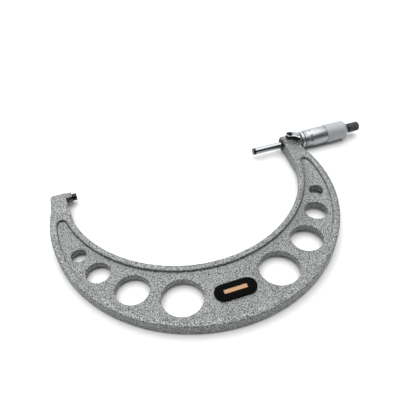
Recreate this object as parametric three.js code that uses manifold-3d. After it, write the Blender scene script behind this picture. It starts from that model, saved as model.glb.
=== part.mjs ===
// An outside micrometer for 175 to 200 mm, shown closed to its shortest reading.
// Units are millimetres. The origin is the centre of the anvil's measuring face,
// +X runs along the measuring axis towards the thimble and +Z stands square to the frame.

import * as THREE from "three";
import { mergeVertices } from "three/addons/utils/BufferGeometryUtils.js";
import Module from "manifold-3d";

const wasm = await Module();
wasm.setup();

// ---- Driving dimensions -------------------------------------------------

const SHORTEST_READING = 175; // gap between the measuring faces at rest
const TRAVEL = 25; // how far the spindle draws back
const PIN_DIAMETER = 6.5; // spindle and anvil
const CARBIDE_THICKNESS = 2.4;
const EDGE_BREAK = 0.2; // small chamfer on ground edges

// Frame casting
const FRAME_THICKNESS = 11;
const WEB_THICKNESS = 6;
const THROAT_CENTRE_DROP = 7.6; // centre of the throat arc below the measuring axis
const FACES_PROUD = 1.25; // lug and boss faces stand this far inside the throat arc
const ARM_WIDTH = 8.15; // between the throat arc and the back arc, on the measuring axis
const BOW_WIDTH = 56.1; // between the same arcs, at the middle of the bow
const INNER_RIM = 5.3;
const OUTER_RIM = 6;
const POCKET_TIP_RADIUS = 4;
const ARM_STRAIGHTENS_AT = 38; // below this depth the arms leave the throat arc
const LUG_FLAT = 8; // straight height of the lug and boss faces
const LUG_LENGTH = 13.4;
const LUG_BLENDS_AT = 15; // depth where the lug's back leaves the back arc
const LUG_CORNER = 1.5;

// Lightening holes, from an arm to the middle: degrees from the middle of the bow, radius,
// and distance outwards from the middle line of the pocket
const LIGHTENING_HOLES = [
  { degrees: 58.8, radius: 6.2, setOut: -0.1 },
  { degrees: 47.6, radius: 9.75, setOut: 0.1 },
  { degrees: 33.3, radius: 13.45, setOut: 0.9 },
  { degrees: 16.8, radius: 16.3, setOut: 1.4 },
];

// Anvil
const ANVIL_REACH = 4.1; // bare pin in front of the bush
const BUSH_FLANGE_LENGTH = 5.3;
const BUSH_FLANGE_STEP = 0.75; // flange over stem, on the radius
const BUSH_WALL = 0.95;
const ANVIL_SEAT_DEPTH = 10; // how deep pin and bush sit in the lug

// Boss and spindle bearing
const SPINDLE_REACH = 31; // bare spindle in front of the boss
const BOSS_RIM = 1.65; // wall around the seal
const BOSS_LENGTH = 20;
const BOSS_CHAMFER = 0.8;
const SEAL_STEP = 0.8; // seal over guide sleeve, on the radius
const SEAL_LENGTH = 3;
const SEAL_RECESS = 0.3;
const GUIDE_WALL = 1.5; // guide sleeve around the screw thread
const THREAD_STEP = 0.35; // thread over plain spindle, on the radius
const NUT_LENGTH = 12; // threaded end of the guide sleeve
const ADJUSTING_NUT_LENGTH = 6;
const ADJUSTING_NUT_WALL = 1.7;

// Spindle lock
const COLLET_LENGTH = 9;
const COLLET_PLAY = 0.2; // behind the seal's seat
const COLLET_SLIT = 1.4;
const LOCK_SCREW_DIAMETER = 4;
const LOCK_HEAD_DIAMETER = 5.3;
const LOCK_HEAD_HEIGHT = 2.6;
const LOCK_SOCKET_WIDTH = 2.5; // across flats
const LOCK_SOCKET_DEPTH = 1.6;
const LEVER_EYE_DIAMETER = 8.2;
const LEVER_THICKNESS = 3.5;
const LEVER_SHORT_OF_COLLAR = 2.2; // from the lever's tip to the back of the boss
const LEVER_TIP_WIDTH = 9.2;
const LEVER_TIP_SET_OVER = 2.8; // the middle of the tip, from the eye's line towards the bow
const LEVER_TIP_CORNER = 1.5;
const LEVER_FLARE_START = 5.5; // from the eye's centre
const LEVER_FLARE_DEGREES = 60;
const LEVER_REST_DEGREES = -14; // swung towards the bow from the measuring axis
const LEVER_CLEARANCE = 0.25; // over the boss

// Graduated sleeve
const SLEEVE_WALL = 2.3;
const SLEEVE_COLLAR_STEP = 0.8;
const SLEEVE_COLLAR_LENGTH = 2.8;
const SLEEVE_PAST_TRAVEL = 2; // sleeve left inside the thimble when drawn right back

// Thimble
const THIMBLE_GAP = 0.7; // between the sleeve's collar and the thimble's edge
const THIMBLE_EDGE_WALL = 0.4;
const THIMBLE_WALL = 1.1;
const THIMBLE_BEVEL_LENGTH = 9;
const THIMBLE_GROOVE_WIDTH = 0.6;
const THIMBLE_GROOVE_DEPTH = 0.5;
const GRIP_STEP = 0.3; // knurled grip over the plain stretch, on the radius
const GRIP_LENGTH = 20.5;
const THIMBLE_CHAMFER_LENGTH = 2.5;
const THIMBLE_CHAMFER_DEPTH = 1.8;
const THIMBLE_END_WALL = 6.5;
const THIMBLE_END_PLAY = 7.2; // between the guide sleeve's end and that wall
const SPINDLE_END_STEP = 0.4; // end held in the thimble over the thread, on the radius

// Ratchet stop
const RATCHET_DIAMETER = 9.4;
const RATCHET_BASE_LENGTH = 2.3;
const RATCHET_TEETH = 12;
const TOOTH_HEIGHT = 0.5;
const TOOTH_MARGIN = 0.4; // teeth stop this far inside the ratchet's rim and clear of its shaft
const RATCHET_LENGTH = 11.8;
const RATCHET_FRONT_WALL = 4;
const RATCHET_SHAFT_DIAMETER = 3;
const RATCHET_SHAFT_GRIP = 8.5; // thread held in the spindle's end
const RATCHET_WALL = 1.2;
const RATCHET_CHAMFER = 0.4;
const RATCHET_HEAD_PLAY = 0.5; // around the screw head in the cavity
const RATCHET_HEAD_LENGTH = 1.6;
const RATCHET_CAP_THICKNESS = 1;
const RATCHET_CAP_STEP = 0.4; // cap over the cavity, on the radius
const SCREW_SLOT = 0.7;
const SPRING_WIRE = 0.6;
const SPRING_TURNS = 4;

// Insulating plates
const PLATE_LENGTH = 34;
const PLATE_WIDTH = 15;
const PLATE_THICKNESS = 1.5;
const PLATE_SET_OUT = 1.6; // plate centre outwards from the pocket's middle line
const LABEL_LENGTH = 18.5;
const LABEL_WIDTH = 3.4;
const LABEL_THICKNESS = 0.3;

// Fits
const SEAT_GAP = 0.1; // pressed, glued or screwed together
const RUNNING_GAP = 0.2; // radial play of turning pieces, as drawn
const THIMBLE_RUNNING_GAP = 0.3; // radial play of the thimble over the sleeve, as drawn
const TOOTH_GAP = 0.3; // ratchet teeth, drawn just lifted
const CUT_OVERRUN = 1; // cutters reach this far past a face

// Facets
const ROUND_SIDES = 36;
const ARC_STEPS = 28;
const PLATE_END_STEPS = 8;
const TAB_CORNER_STEPS = 3;
const HOLE_SIDES = 32;
const WIRE_STEPS = 3;
const SPRING_STEPS_PER_TURN = 12;
const WELD_DISTANCE = 1e-4; // corners closer than this are one corner

// ---- Radii that follow from one another -----------------------------------

const PIN_RADIUS = PIN_DIAMETER / 2;
const BEARING_RADIUS = PIN_RADIUS + RUNNING_GAP;
const BUSH_BORE_RADIUS = PIN_RADIUS + SEAT_GAP;
const BUSH_STEM_RADIUS = PIN_RADIUS + BUSH_WALL;
const BUSH_FLANGE_RADIUS = BUSH_STEM_RADIUS + BUSH_FLANGE_STEP;
const THREAD_RADIUS = PIN_RADIUS + THREAD_STEP;
const SPINDLE_END_RADIUS = THREAD_RADIUS + SPINDLE_END_STEP;
const NUT_BORE_RADIUS = THREAD_RADIUS + RUNNING_GAP;
const GUIDE_RADIUS = NUT_BORE_RADIUS + GUIDE_WALL;
const OVER_GUIDE_RADIUS = GUIDE_RADIUS + SEAT_GAP;
const SEAL_RADIUS = GUIDE_RADIUS + SEAL_STEP;
const BOSS_RADIUS = SEAL_RADIUS + BOSS_RIM;
const ADJUSTING_NUT_RADIUS = OVER_GUIDE_RADIUS + ADJUSTING_NUT_WALL;
const SLEEVE_RADIUS = OVER_GUIDE_RADIUS + SLEEVE_WALL;
const SLEEVE_COLLAR_RADIUS = SLEEVE_RADIUS + SLEEVE_COLLAR_STEP;
const THIMBLE_BORE_RADIUS = SLEEVE_RADIUS + THIMBLE_RUNNING_GAP;
const THIMBLE_EDGE_RADIUS = THIMBLE_BORE_RADIUS + THIMBLE_EDGE_WALL;
const THIMBLE_RADIUS = THIMBLE_BORE_RADIUS + THIMBLE_WALL;
const GRIP_RADIUS = THIMBLE_RADIUS + GRIP_STEP;
const RATCHET_RADIUS = RATCHET_DIAMETER / 2;
const RATCHET_SHAFT_RADIUS = RATCHET_SHAFT_DIAMETER / 2;
const RATCHET_CAVITY_RADIUS = RATCHET_RADIUS - RATCHET_WALL;
const RATCHET_HEAD_RADIUS = RATCHET_CAVITY_RADIUS - RATCHET_HEAD_PLAY;
const CAP_RADIUS = RATCHET_CAVITY_RADIUS + RATCHET_CAP_STEP;

// ---- Places along the measuring axis --------------------------------------

const LUG_FACE = -(ANVIL_REACH + BUSH_FLANGE_LENGTH);
const LUG_BACK = LUG_FACE - LUG_LENGTH;
const ANVIL_SEAT = LUG_FACE - ANVIL_SEAT_DEPTH;
const BOSS_FACE = SHORTEST_READING + SPINDLE_REACH;
const BOSS_BACK = BOSS_FACE + BOSS_LENGTH;
const BOW_MIDDLE = (LUG_FACE + BOSS_FACE) / 2;
const SEAL_SEAT = BOSS_FACE + SEAL_RECESS + SEAL_LENGTH;
const COLLET_START = SEAL_SEAT + COLLET_PLAY;
const LOCK_X = COLLET_START + COLLET_LENGTH / 2;
const GUIDE_START = LOCK_X + COLLET_LENGTH / 2 + SEAT_GAP;
const SLEEVE_START = BOSS_BACK + SEAT_GAP;
const THIMBLE_EDGE = SLEEVE_START + SLEEVE_COLLAR_LENGTH + THIMBLE_GAP;
const SLEEVE_END = THIMBLE_EDGE + TRAVEL + SLEEVE_PAST_TRAVEL;
const ADJUSTING_NUT_START = SLEEVE_END + SEAT_GAP;
const GUIDE_END = ADJUSTING_NUT_START + ADJUSTING_NUT_LENGTH;
const END_WALL_FACE = GUIDE_END + THIMBLE_END_PLAY;
const THIMBLE_BACK = END_WALL_FACE + THIMBLE_END_WALL;
const GRIP_END = THIMBLE_BACK - THIMBLE_CHAMFER_LENGTH;
const GRIP_START = GRIP_END - GRIP_LENGTH;
const GROOVE_START = GRIP_START - THIMBLE_GROOVE_WIDTH;
const THREAD_START = GUIDE_END - NUT_LENGTH - TRAVEL;
const THREAD_END = END_WALL_FACE - RUNNING_GAP;
const BEARING_END = THREAD_START - RUNNING_GAP; // plain bore, clear of the thread at rest
const RATCHET_BASE_START = THIMBLE_BACK + SEAT_GAP;
const RATCHET_BASE_FACE = RATCHET_BASE_START + RATCHET_BASE_LENGTH;
const RATCHET_START = RATCHET_BASE_FACE + 2 * TOOTH_HEIGHT + TOOTH_GAP;
const RATCHET_END = RATCHET_START + RATCHET_LENGTH;
const CAVITY_START = RATCHET_START + RATCHET_FRONT_WALL;
const CAP_SEAT = RATCHET_END - RATCHET_CAP_THICKNESS;
const RATCHET_HEAD_END = CAP_SEAT - RUNNING_GAP;
const RATCHET_HEAD_START = RATCHET_HEAD_END - RATCHET_HEAD_LENGTH;

// ---- Heights over the frame's middle plane --------------------------------

const FRAME_TOP = FRAME_THICKNESS / 2;
const WEB_TOP = WEB_THICKNESS / 2;
const PLATE_BOTTOM = WEB_TOP;
const PLATE_TOP = PLATE_BOTTOM + PLATE_THICKNESS;
const LEVER_BOTTOM = BOSS_RADIUS + LEVER_CLEARANCE;
const LEVER_TOP = LEVER_BOTTOM + LEVER_THICKNESS;
const LOCK_SCREW_FOOT = GUIDE_RADIUS + RUNNING_GAP;

// ---- The two arcs of the bow ------------------------------------------------

const THROAT_HALF_WIDTH = (BOSS_FACE - LUG_FACE) / 2 + FACES_PROUD;
const THROAT_RADIUS = Math.hypot(THROAT_HALF_WIDTH, THROAT_CENTRE_DROP);
const BOW_DEPTH = THROAT_CENTRE_DROP + THROAT_RADIUS + BOW_WIDTH;
const BACK_HALF_WIDTH = THROAT_HALF_WIDTH + ARM_WIDTH;
const BACK_RADIUS = (BOW_DEPTH + BACK_HALF_WIDTH ** 2 / BOW_DEPTH) / 2;
const BACK_CENTRE_DROP = BOW_DEPTH - BACK_RADIUS;
const POCKET_BACK_RADIUS = BACK_RADIUS - OUTER_RIM;
const POCKET_THROAT_RADIUS = THROAT_RADIUS + INNER_RIM;

// ---- Materials ------------------------------------------------------------

function metal(color, roughness) {
  return new THREE.MeshStandardMaterial({ color, roughness, metalness: 1 });
}

const hammeredEnamel = new THREE.MeshStandardMaterial({
  color: 0x9b9e9d,
  roughness: 0.35,
  metalness: 0.4,
});
const groundSteel = metal(0xb9bbbd, 0.22);
const carbide = metal(0x4a4c50, 0.3);
const darkSteel = metal(0x55565a, 0.4);
const polishedChrome = metal(0xdfe2e4, 0.1);
const satinChrome = metal(0xc6c9cb, 0.35);
const blackenedSteel = metal(0x2b2b2c, 0.45);
const springSteel = metal(0x8d8f93, 0.3);
const goldFoil = metal(0xc79a4b, 0.35);
const brass = metal(0xb59a5a, 0.35);
const blackPlastic = new THREE.MeshStandardMaterial({
  color: 0x161616,
  roughness: 0.4,
  metalness: 0,
});

// ---- Solids ---------------------------------------------------------------

// Turns a closed geometry into a solid that can be joined and cut.
function solidOf(geometry) {
  const bare = geometry.clone();
  bare.deleteAttribute("normal");
  bare.deleteAttribute("uv");
  const merged = mergeVertices(bare, WELD_DISTANCE);
  return new wasm.Manifold(
    new wasm.Mesh({
      numProp: 3,
      vertProperties: merged.attributes.position.array,
      triVerts: new Uint32Array(merged.index.array),
    }),
  );
}

// Turns a solid back into a geometry with flat faces.
function geometryOf(solid) {
  const mesh = solid.getMesh();
  const geometry = new THREE.BufferGeometry();
  geometry.setAttribute(
    "position",
    new THREE.BufferAttribute(mesh.vertProperties, 3),
  );
  geometry.setIndex(new THREE.BufferAttribute(mesh.triVerts, 1));
  const flat = geometry.toNonIndexed();
  flat.computeVertexNormals();
  return flat;
}

// A piece turned on the measuring axis from [x, radius] points that start and end on the axis.
function turned(points) {
  const profile = points.map(([x, radius]) => new THREE.Vector2(radius, x));
  return new THREE.LatheGeometry(profile, ROUND_SIDES).rotateZ(-Math.PI / 2);
}

// A ring turned on the measuring axis: its [x, radius] points close on themselves.
function turnedRing(points) {
  return turned([...points, points[0]]);
}

// A plain tube on the measuring axis.
function tube(start, end, innerRadius, outerRadius) {
  return turnedRing([
    [start, innerRadius],
    [start, outerRadius],
    [end, outerRadius],
    [end, innerRadius],
  ]);
}

// A plain round bar on the measuring axis.
function bar(start, end, radius) {
  return turned([
    [start, 0],
    [start, radius],
    [end, radius],
    [end, 0],
  ]);
}

// A plate with the given outline, between two heights.
function plate(outline, bottom, top, steps = ARC_STEPS) {
  return new THREE.ExtrudeGeometry(outline, {
    depth: top - bottom,
    bevelEnabled: false,
    curveSegments: steps,
  }).translate(0, 0, bottom);
}

// An upright round or polygonal bar at a place on the frame.
function upright(x, y, bottom, top, radius, sides = HOLE_SIDES) {
  return new THREE.CylinderGeometry(radius, radius, top - bottom, sides)
    .rotateX(Math.PI / 2)
    .translate(x, y, (bottom + top) / 2);
}

function part(name, geometry, material) {
  const mesh = new THREE.Mesh(geometry, material);
  mesh.name = name;
  return mesh;
}

// ---- Frame ----------------------------------------------------------------

const throatCentre = new THREE.Vector2(BOW_MIDDLE, -THROAT_CENTRE_DROP);
const backCentre = new THREE.Vector2(BOW_MIDDLE, -BACK_CENTRE_DROP);

// The plan of the bow, whose arms end on the measuring axis.
function bowOutline() {
  const lugBlend = Math.asin((BACK_CENTRE_DROP - LUG_BLENDS_AT) / BACK_RADIUS);
  const bossBlend = Math.asin(BACK_CENTRE_DROP / BACK_RADIUS);
  const armBlend = Math.asin(
    (ARM_STRAIGHTENS_AT - THROAT_CENTRE_DROP) / THROAT_RADIUS,
  );
  const outline = new THREE.Shape();
  outline.absarc(
    backCentre.x,
    backCentre.y,
    BACK_RADIUS,
    Math.PI - lugBlend,
    2 * Math.PI + bossBlend,
    false,
  );
  outline.lineTo(BOSS_FACE, 0);
  outline.lineTo(BOSS_FACE, -LUG_FLAT);
  outline.absarc(
    throatCentre.x,
    throatCentre.y,
    THROAT_RADIUS,
    -armBlend,
    -Math.PI + armBlend,
    true,
  );
  outline.lineTo(LUG_FACE, -LUG_FLAT);
  outline.lineTo(LUG_FACE, 0);
  outline.lineTo(LUG_BACK, 0);
  return outline;
}

// A point on the pocket's middle line, or set out from it, at an angle from the bow's middle.
function onMiddleLine(degrees, setOut) {
  const angle = THREE.MathUtils.degToRad(degrees);
  const apart = BACK_CENTRE_DROP - THROAT_CENTRE_DROP;
  const toBack =
    apart * Math.cos(angle) +
    Math.sqrt(POCKET_BACK_RADIUS ** 2 - (apart * Math.sin(angle)) ** 2);
  const distance = (POCKET_THROAT_RADIUS + toBack) / 2 + setOut;
  return new THREE.Vector2(
    throatCentre.x + distance * Math.sin(angle),
    throatCentre.y - distance * Math.cos(angle),
  );
}

// The centre of the pocket's round end, right of the middle, which touches both of its arcs.
function pocketTip() {
  const toBack = POCKET_BACK_RADIUS - POCKET_TIP_RADIUS;
  const toThroat = POCKET_THROAT_RADIUS + POCKET_TIP_RADIUS;
  const apart = BACK_CENTRE_DROP - THROAT_CENTRE_DROP;
  const drop = ((toThroat ** 2 - toBack ** 2) / apart + apart) / 2;
  const side = Math.sqrt(toThroat ** 2 - drop ** 2);
  return new THREE.Vector2(throatCentre.x + side, throatCentre.y - drop);
}

// The plan of the sunk pocket between the two rims.
function pocketOutline() {
  const tip = pocketTip();
  const mirroredX = 2 * BOW_MIDDLE - tip.x;
  const backAngle = tip.clone().sub(backCentre).angle();
  const throatAngle = tip.clone().sub(throatCentre).angle() - 2 * Math.PI;
  const outline = new THREE.Shape();
  outline.absarc(
    backCentre.x,
    backCentre.y,
    POCKET_BACK_RADIUS,
    Math.PI - backAngle,
    2 * Math.PI + backAngle,
    false,
  );
  outline.absarc(
    tip.x,
    tip.y,
    POCKET_TIP_RADIUS,
    backAngle,
    Math.PI + throatAngle,
    false,
  );
  outline.absarc(
    throatCentre.x,
    throatCentre.y,
    POCKET_THROAT_RADIUS,
    throatAngle,
    -Math.PI - throatAngle,
    true,
  );
  outline.absarc(
    mirroredX,
    tip.y,
    POCKET_TIP_RADIUS,
    -throatAngle,
    Math.PI - backAngle,
    false,
  );
  return outline;
}

// The round lug that holds the anvil, with a softened back corner.
function lug() {
  return turned([
    [LUG_BACK, 0],
    [LUG_BACK, FRAME_TOP - LUG_CORNER],
    [LUG_BACK + LUG_CORNER, FRAME_TOP],
    [LUG_FACE, FRAME_TOP],
    [LUG_FACE, 0],
  ]);
}

// The round boss that carries the spindle.
function boss() {
  return turned([
    [BOSS_FACE, 0],
    [BOSS_FACE, BOSS_RADIUS - BOSS_CHAMFER],
    [BOSS_FACE + BOSS_CHAMFER, BOSS_RADIUS],
    [BOSS_BACK - BOSS_CHAMFER, BOSS_RADIUS],
    [BOSS_BACK, BOSS_RADIUS - BOSS_CHAMFER],
    [BOSS_BACK, 0],
  ]);
}

// The stepped bore through the boss: seal seat, then the bore for collet and guide sleeve.
function bossBore() {
  const sealBore = SEAL_RADIUS + SEAT_GAP;
  return turned([
    [BOSS_FACE - CUT_OVERRUN, 0],
    [BOSS_FACE - CUT_OVERRUN, sealBore],
    [SEAL_SEAT, sealBore],
    [SEAL_SEAT, OVER_GUIDE_RADIUS],
    [BOSS_BACK + CUT_OVERRUN, OVER_GUIDE_RADIUS],
    [BOSS_BACK + CUT_OVERRUN, 0],
  ]);
}

function anvilBore() {
  return bar(
    ANVIL_SEAT - SEAT_GAP,
    LUG_FACE + CUT_OVERRUN,
    BUSH_STEM_RADIUS + SEAT_GAP,
  );
}

function lockHole() {
  return upright(
    LOCK_X,
    0,
    0,
    LEVER_BOTTOM + CUT_OVERRUN,
    LOCK_SCREW_DIAMETER / 2 + RUNNING_GAP,
  );
}

function frame() {
  const pocket = pocketOutline();
  const pastTop = FRAME_TOP + CUT_OVERRUN;
  let body = solidOf(plate(bowOutline(), -FRAME_TOP, FRAME_TOP))
    .subtract(solidOf(plate(pocket, WEB_TOP, pastTop)))
    .subtract(solidOf(plate(pocket, -pastTop, -WEB_TOP)))
    .add(solidOf(lug()))
    .add(solidOf(boss()))
    .subtract(solidOf(bossBore()))
    .subtract(solidOf(anvilBore()))
    .subtract(solidOf(lockHole()));
  for (const { degrees, radius, setOut } of LIGHTENING_HOLES)
    for (const side of [-1, 1]) {
      const { x, y } = onMiddleLine(side * degrees, setOut);
      body = body.subtract(solidOf(upright(x, y, -pastTop, pastTop, radius)));
    }
  return part("frame", geometryOf(body), hammeredEnamel);
}

// ---- Anvil ----------------------------------------------------------------

function anvil() {
  const pin = bar(ANVIL_SEAT, -CARBIDE_THICKNESS, PIN_RADIUS);
  return part("anvil", pin, groundSteel);
}

function anvilCarbideTip() {
  const tip = turned([
    [-CARBIDE_THICKNESS, 0],
    [-CARBIDE_THICKNESS, PIN_RADIUS],
    [-EDGE_BREAK, PIN_RADIUS],
    [0, PIN_RADIUS - EDGE_BREAK],
    [0, 0],
  ]);
  return part("anvil_carbide_tip", tip, carbide);
}

function anvilBush() {
  const bush = turnedRing([
    [ANVIL_SEAT, BUSH_BORE_RADIUS],
    [ANVIL_SEAT, BUSH_STEM_RADIUS],
    [LUG_FACE, BUSH_STEM_RADIUS],
    [LUG_FACE, BUSH_FLANGE_RADIUS],
    [-ANVIL_REACH - EDGE_BREAK, BUSH_FLANGE_RADIUS],
    [-ANVIL_REACH, BUSH_FLANGE_RADIUS - EDGE_BREAK],
    [-ANVIL_REACH, BUSH_BORE_RADIUS],
  ]);
  return part("anvil_bush", bush, darkSteel);
}

// ---- Insulating plates ------------------------------------------------------

const plateCentre = onMiddleLine(0, PLATE_SET_OUT);

function plateOutline() {
  const radius = PLATE_WIDTH / 2;
  const offset = PLATE_LENGTH / 2 - radius;
  const outline = new THREE.Shape();
  outline.absarc(
    plateCentre.x + offset,
    plateCentre.y,
    radius,
    -Math.PI / 2,
    Math.PI / 2,
    false,
  );
  outline.absarc(
    plateCentre.x - offset,
    plateCentre.y,
    radius,
    Math.PI / 2,
    (3 * Math.PI) / 2,
    false,
  );
  return outline;
}

function block(length, width, bottom, top) {
  return new THREE.BoxGeometry(length, width, top - bottom).translate(
    plateCentre.x,
    plateCentre.y,
    (bottom + top) / 2,
  );
}

function insulatingPlates() {
  const outline = plateOutline();
  const front = plate(outline, PLATE_BOTTOM, PLATE_TOP, PLATE_END_STEPS);
  const back = plate(outline, -PLATE_TOP, -PLATE_BOTTOM, PLATE_END_STEPS);
  const pocketFloor = PLATE_TOP - LABEL_THICKNESS;
  const pocket = block(
    LABEL_LENGTH + 2 * SEAT_GAP,
    LABEL_WIDTH + 2 * SEAT_GAP,
    pocketFloor,
    PLATE_TOP + CUT_OVERRUN,
  );
  const cut = solidOf(front).subtract(solidOf(pocket));
  const label = block(LABEL_LENGTH, LABEL_WIDTH, pocketFloor, PLATE_TOP);
  return [
    part("front_insulating_plate", geometryOf(cut), blackPlastic),
    part("back_insulating_plate", back, blackPlastic),
    part("plate_label", label, goldFoil),
  ];
}

// ---- Spindle and its bearings ---------------------------------------------

function spindleCarbideTip() {
  const tip = turned([
    [SHORTEST_READING, 0],
    [SHORTEST_READING, PIN_RADIUS - EDGE_BREAK],
    [SHORTEST_READING + EDGE_BREAK, PIN_RADIUS],
    [SHORTEST_READING + CARBIDE_THICKNESS, PIN_RADIUS],
    [SHORTEST_READING + CARBIDE_THICKNESS, 0],
  ]);
  return part("spindle_carbide_tip", tip, carbide);
}

// The spindle: plain stem, screw thread, and an end that the thimble grips.
function spindle() {
  const shaftHole = RATCHET_SHAFT_RADIUS + SEAT_GAP;
  const shaftFloor = THIMBLE_BACK - RATCHET_SHAFT_GRIP - SEAT_GAP;
  const stem = turned([
    [SHORTEST_READING + CARBIDE_THICKNESS, 0],
    [SHORTEST_READING + CARBIDE_THICKNESS, PIN_RADIUS],
    [THREAD_START, PIN_RADIUS],
    [THREAD_START, THREAD_RADIUS],
    [THREAD_END, THREAD_RADIUS],
    [THREAD_END, SPINDLE_END_RADIUS],
    [THIMBLE_BACK, SPINDLE_END_RADIUS],
    [THIMBLE_BACK, shaftHole],
    [shaftFloor, shaftHole],
    [shaftFloor, 0],
  ]);
  return part("spindle", stem, groundSteel);
}

function bossSeal() {
  const ring = tube(
    BOSS_FACE + SEAL_RECESS,
    SEAL_SEAT,
    BEARING_RADIUS,
    SEAL_RADIUS,
  );
  return part("boss_seal", ring, blackPlastic);
}

// The guide sleeve: plain bearing in front, screw nut at its back end.
function guideSleeve() {
  const sleeve = turnedRing([
    [GUIDE_START, BEARING_RADIUS],
    [GUIDE_START, GUIDE_RADIUS],
    [GUIDE_END, GUIDE_RADIUS],
    [GUIDE_END, NUT_BORE_RADIUS],
    [BEARING_END, NUT_BORE_RADIUS],
    [BEARING_END, BEARING_RADIUS],
  ]);
  return part("guide_sleeve", sleeve, springSteel);
}

function adjustingNut() {
  const ring = tube(
    ADJUSTING_NUT_START,
    GUIDE_END,
    OVER_GUIDE_RADIUS,
    ADJUSTING_NUT_RADIUS,
  );
  return part("adjusting_nut", ring, springSteel);
}

function graduatedSleeve() {
  const collarEnd = SLEEVE_START + SLEEVE_COLLAR_LENGTH;
  const sleeve = turnedRing([
    [SLEEVE_START, OVER_GUIDE_RADIUS],
    [SLEEVE_START, SLEEVE_COLLAR_RADIUS - EDGE_BREAK],
    [SLEEVE_START + EDGE_BREAK, SLEEVE_COLLAR_RADIUS],
    [collarEnd - EDGE_BREAK, SLEEVE_COLLAR_RADIUS],
    [collarEnd, SLEEVE_COLLAR_RADIUS - EDGE_BREAK],
    [collarEnd, SLEEVE_RADIUS],
    [SLEEVE_END, SLEEVE_RADIUS],
    [SLEEVE_END, OVER_GUIDE_RADIUS],
  ]);
  return part("graduated_sleeve", sleeve, satinChrome);
}

// ---- Spindle lock ---------------------------------------------------------

// The split ring that the lock screw squeezes on the spindle.
function lockCollet() {
  const colletEnd = COLLET_START + COLLET_LENGTH;
  const ring = tube(COLLET_START, colletEnd, BEARING_RADIUS, GUIDE_RADIUS);
  const reach = GUIDE_RADIUS + CUT_OVERRUN;
  const slit = new THREE.BoxGeometry(
    COLLET_LENGTH + 2 * CUT_OVERRUN,
    COLLET_SLIT,
    reach,
  ).translate(LOCK_X, 0, -reach / 2);
  const collet = solidOf(ring).subtract(solidOf(slit));
  return part("lock_collet", geometryOf(collet), brass);
}

function lockScrew() {
  const headBottom = LEVER_BOTTOM;
  const headTop = headBottom + LOCK_HEAD_HEIGHT;
  const shank = upright(
    LOCK_X,
    0,
    LOCK_SCREW_FOOT,
    headBottom + LOCK_HEAD_HEIGHT / 2,
    LOCK_SCREW_DIAMETER / 2,
    ROUND_SIDES,
  );
  const head = upright(
    LOCK_X,
    0,
    headBottom,
    headTop,
    LOCK_HEAD_DIAMETER / 2,
    ROUND_SIDES,
  );
  const socketRadius = LOCK_SOCKET_WIDTH / Math.sqrt(3);
  const socket = upright(
    LOCK_X,
    0,
    headTop - LOCK_SOCKET_DEPTH,
    headTop + CUT_OVERRUN,
    socketRadius,
    6,
  );
  const screw = solidOf(shank).add(solidOf(head)).subtract(solidOf(socket));
  return part("lock_screw", geometryOf(screw), blackenedSteel);
}

// The lever's thumb tab, which flares on the bow's side to a square tip.
function leverOutline() {
  const root = LEVER_EYE_DIAMETER / 2 - EDGE_BREAK;
  const length = BOSS_BACK - LOCK_X - LEVER_SHORT_OF_COLLAR;
  const bowSide = -LEVER_TIP_SET_OVER - LEVER_TIP_WIDTH / 2;
  const farSide = bowSide + LEVER_TIP_WIDTH;
  const corner = LEVER_TIP_CORNER;
  const cornerX = length - corner;
  const flareEnd = -Math.PI / 2 - THREE.MathUtils.degToRad(LEVER_FLARE_DEGREES);
  const outline = new THREE.Shape();
  outline.moveTo(0, -root);
  outline.quadraticCurveTo(
    LEVER_FLARE_START,
    -root,
    cornerX + corner * Math.cos(flareEnd),
    bowSide + corner + corner * Math.sin(flareEnd),
  );
  outline.absarc(cornerX, bowSide + corner, corner, flareEnd, 0, false);
  outline.absarc(cornerX, farSide - corner, corner, 0, Math.PI / 2, false);
  outline.lineTo(0, root);
  return outline;
}

function lockLever() {
  const eyeRadius = LEVER_EYE_DIAMETER / 2;
  const eye = upright(0, 0, LEVER_BOTTOM, LEVER_TOP, eyeRadius, ROUND_SIDES);
  const hole = upright(
    0,
    0,
    LEVER_BOTTOM - CUT_OVERRUN,
    LEVER_TOP + CUT_OVERRUN,
    LOCK_HEAD_DIAMETER / 2 + SEAT_GAP,
    ROUND_SIDES,
  );
  const tab = plate(leverOutline(), LEVER_BOTTOM, LEVER_TOP, TAB_CORNER_STEPS);
  const lever = solidOf(eye).add(solidOf(tab)).subtract(solidOf(hole));
  const mesh = part("lock_lever", geometryOf(lever), polishedChrome);
  mesh.position.x = LOCK_X;
  mesh.rotation.z = THREE.MathUtils.degToRad(LEVER_REST_DEGREES);
  return mesh;
}

// ---- Thimble --------------------------------------------------------------

function thimble() {
  const groove = THIMBLE_RADIUS - THIMBLE_GROOVE_DEPTH;
  const seat = SPINDLE_END_RADIUS + SEAT_GAP;
  const shell = turnedRing([
    [THIMBLE_EDGE, THIMBLE_BORE_RADIUS],
    [THIMBLE_EDGE, THIMBLE_EDGE_RADIUS],
    [THIMBLE_EDGE + THIMBLE_BEVEL_LENGTH, THIMBLE_RADIUS],
    [GROOVE_START, THIMBLE_RADIUS],
    [GROOVE_START, groove],
    [GRIP_START, groove],
    [GRIP_START, GRIP_RADIUS],
    [GRIP_END, GRIP_RADIUS],
    [THIMBLE_BACK, GRIP_RADIUS - THIMBLE_CHAMFER_DEPTH],
    [THIMBLE_BACK, seat],
    [END_WALL_FACE, seat],
    [END_WALL_FACE, THIMBLE_BORE_RADIUS],
  ]);
  return part("thimble", shell, satinChrome);
}

// ---- Ratchet stop ---------------------------------------------------------

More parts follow.
